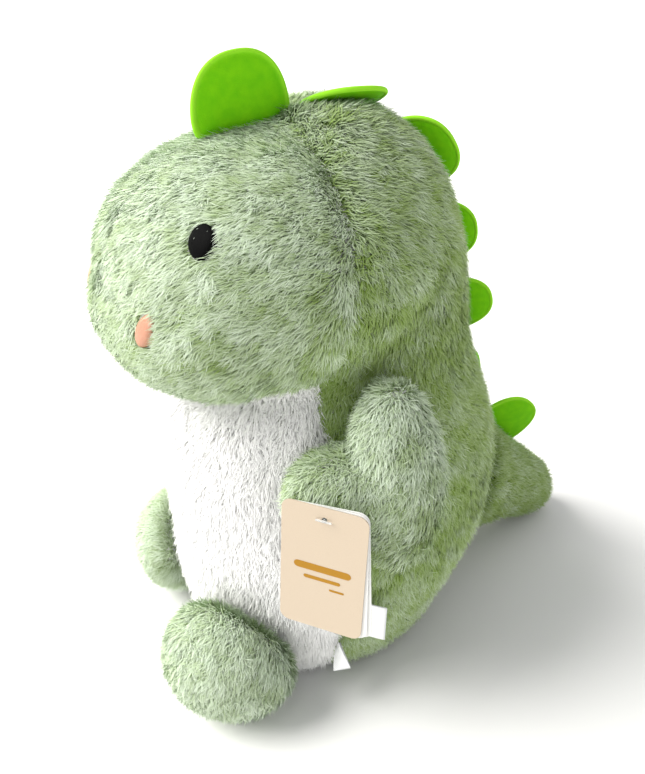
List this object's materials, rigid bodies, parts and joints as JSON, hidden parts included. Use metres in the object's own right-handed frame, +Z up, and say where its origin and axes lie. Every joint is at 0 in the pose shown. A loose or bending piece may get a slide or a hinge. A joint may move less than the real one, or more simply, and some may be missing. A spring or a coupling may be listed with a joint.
{
  "type": "stuffed dinosaur",
  "caption": "Sitting plush dinosaur: fur panels over filling, with hinged soft arms, feet, tail, felt spine plates, a card hang tag and sewn labels.",
  "frame": {"origin": "on the floor under the middle of the base panel's flat face", "axes": "+Z up; the face looks along -Y; +X is the toy's left"},
  "size_m": [0.2995, 0.3663, 0.4054],
  "materials": {
    "green_plush": "short faux fur, sage green",
    "white_plush": "short faux fur, white",
    "green_felt": "brushed lime velboa",
    "interlining": "needled polyester wadding",
    "filling": "loose polyester fibre",
    "pellets": "bag of plastic pellets",
    "black_thread": "satin-stitch embroidery, black",
    "peach_thread": "satin-stitch embroidery, peach",
    "beige_card": "smooth coated card",
    "white_card": "smooth white card",
    "clear_nylon": "clear nylon fastener",
    "white_satin": "woven satin label, blank"
  },
  "bodies": {
    "trunk": {"face_panel_left": "green_plush", "face_panel_right": "green_plush", "back_panel_left": "green_plush", "back_panel_right": "green_plush", "belly_panel": "white_plush", "base_panel": "green_plush", "trunk_filling": "filling", "pellet_bag": "pellets", "eye_left": "black_thread", "eye_right": "black_thread", "nostril_left": "peach_thread", "nostril_right": "peach_thread"},
    "arm_left": {"arm_outer_panel_left": "green_plush", "arm_inner_panel_left": "green_plush", "arm_filling_left": "filling"},
    "arm_right": {"arm_outer_panel_right": "green_plush", "arm_inner_panel_right": "green_plush", "arm_filling_right": "filling"},
    "foot_left": {"foot_upper_left": "green_plush", "foot_sole_left": "green_plush", "foot_filling_left": "filling"},
    "foot_right": {"foot_upper_right": "green_plush", "foot_sole_right": "green_plush", "foot_filling_right": "filling"},
    "tail": {"tail_panel_left": "green_plush", "tail_panel_right": "green_plush", "tail_filling": "filling"},
    "spike_1": {"spike_1_left_felt": "green_felt", "spike_1_interlining": "interlining", "spike_1_right_felt": "green_felt"},
    "spike_2": {"spike_2_left_felt": "green_felt", "spike_2_interlining": "interlining", "spike_2_right_felt": "green_felt"},
    "spike_3": {"spike_3_left_felt": "green_felt", "spike_3_interlining": "interlining", "spike_3_right_felt": "green_felt"},
    "spike_4": {"spike_4_left_felt": "green_felt", "spike_4_interlining": "interlining", "spike_4_right_felt": "green_felt"},
    "spike_5": {"spike_5_left_felt": "green_felt", "spike_5_interlining": "interlining", "spike_5_right_felt": "green_felt"},
    "spike_6": {"spike_6_left_felt": "green_felt", "spike_6_interlining": "interlining", "spike_6_right_felt": "green_felt"},
    "spike_7": {"spike_7_left_felt": "green_felt", "spike_7_interlining": "interlining", "spike_7_right_felt": "green_felt"},
    "hang_tag": {"tag_front_card": "beige_card", "tag_back_card_1": "white_card", "tag_back_card_2": "white_card", "tag_fastener": "clear_nylon"},
    "care_label": {"care_label": "white_satin"},
    "maker_label": {"maker_label": "white_satin"}
  },
  "joints": [
    {"name": "shoulder_left", "type": "hinge", "parent": "trunk", "child": "arm_left", "pos_m": [0.1046, -0.0346, 0.2146], "axis": [-0.9345, 0.3401, -0.1045], "range_deg": [-15, 35], "stiffness_Nm_per_rad": 1},
    {"name": "shoulder_right", "type": "hinge", "parent": "trunk", "child": "arm_right", "pos_m": [-0.1046, -0.0346, 0.2146], "axis": [-0.9345, -0.3401, 0.1045], "range_deg": [-15, 35], "stiffness_Nm_per_rad": 1},
    {"name": "hip_left", "type": "hinge", "parent": "trunk", "child": "foot_left", "pos_m": [0.059, -0.13, 0.04], "axis": [0.4741, -0.8113, -0.342], "range_deg": [-20, 20], "stiffness_Nm_per_rad": 1},
    {"name": "hip_right", "type": "hinge", "parent": "trunk", "child": "foot_right", "pos_m": [-0.076, -0.107, 0.04], "axis": [-0.6563, -0.6725, -0.342], "range_deg": [-20, 20], "stiffness_Nm_per_rad": 1},
    {"name": "tail_wag", "type": "hinge", "parent": "trunk", "child": "tail", "pos_m": [0, 0.088, 0.07], "axis": [0, 0.4226, 0.9063], "range_deg": [-12, 12], "stiffness_Nm_per_rad": 2},
    {"name": "spike_1_flop", "type": "hinge", "parent": "trunk", "child": "spike_1", "pos_m": [0, -0.06126, 0.36749], "axis": [0, 0.9962, 0.0872], "range_deg": [-73, 67], "stiffness_Nm_per_rad": 0.03},
    {"name": "spike_2_flop", "type": "hinge", "parent": "trunk", "child": "spike_2", "pos_m": [0, 0.00221, 0.36899], "axis": [0, 0.9976, -0.0698], "range_deg": [-136, 4], "stiffness_Nm_per_rad": 0.03},
    {"name": "spike_3_flop", "type": "hinge", "parent": "trunk", "child": "spike_3", "pos_m": [0, 0.05754, 0.33109], "axis": [0, 0.5299, -0.848], "range_deg": [-122, 18], "stiffness_Nm_per_rad": 0.03},
    {"name": "spike_4_flop", "type": "hinge", "parent": "trunk", "child": "spike_4", "pos_m": [0, 0.07598, 0.27537], "axis": [0, 0.1219, -0.9925], "range_deg": [-110, 30], "stiffness_Nm_per_rad": 0.03},
    {"name": "spike_5_flop", "type": "hinge", "parent": "trunk", "child": "spike_5", "pos_m": [0, 0.08391, 0.21773], "axis": [0, 0.2419, -0.9703], "range_deg": [-103, 37], "stiffness_Nm_per_rad": 0.03},
    {"name": "spike_6_flop", "type": "hinge", "parent": "trunk", "child": "spike_6", "pos_m": [0, 0.10495, 0.14852], "axis": [0, 0.1736, -0.9848], "range_deg": [-40, 100], "stiffness_Nm_per_rad": 0.03},
    {"name": "spike_7_flop", "type": "hinge", "parent": "tail", "child": "spike_7", "pos_m": [0, 0.14416, 0.09708], "axis": [0, 0.6947, -0.7193], "range_deg": [-92, 48], "stiffness_Nm_per_rad": 0.03},
    {"name": "tag_swing", "type": "hinge", "parent": "arm_left", "child": "hang_tag", "pos_m": [0.1328, -0.0921, 0.182], "axis": [0.6388, -0.7694, 0], "range_deg": [-20, 20]},
    {"name": "care_label_flex", "type": "hinge", "parent": "trunk", "child": "care_label", "pos_m": [0.1, -0.06, 0.072], "axis": [0, 0, 1], "range_deg": [-15, 15], "stiffness_Nm_per_rad": 0.002},
    {"name": "maker_label_flex", "type": "hinge", "parent": "trunk", "child": "maker_label", "pos_m": [0.093, -0.066, 0.044], "axis": [0.629, -0.229, 0.743], "range_deg": [-15, 15], "stiffness_Nm_per_rad": 0.002}
  ]
}
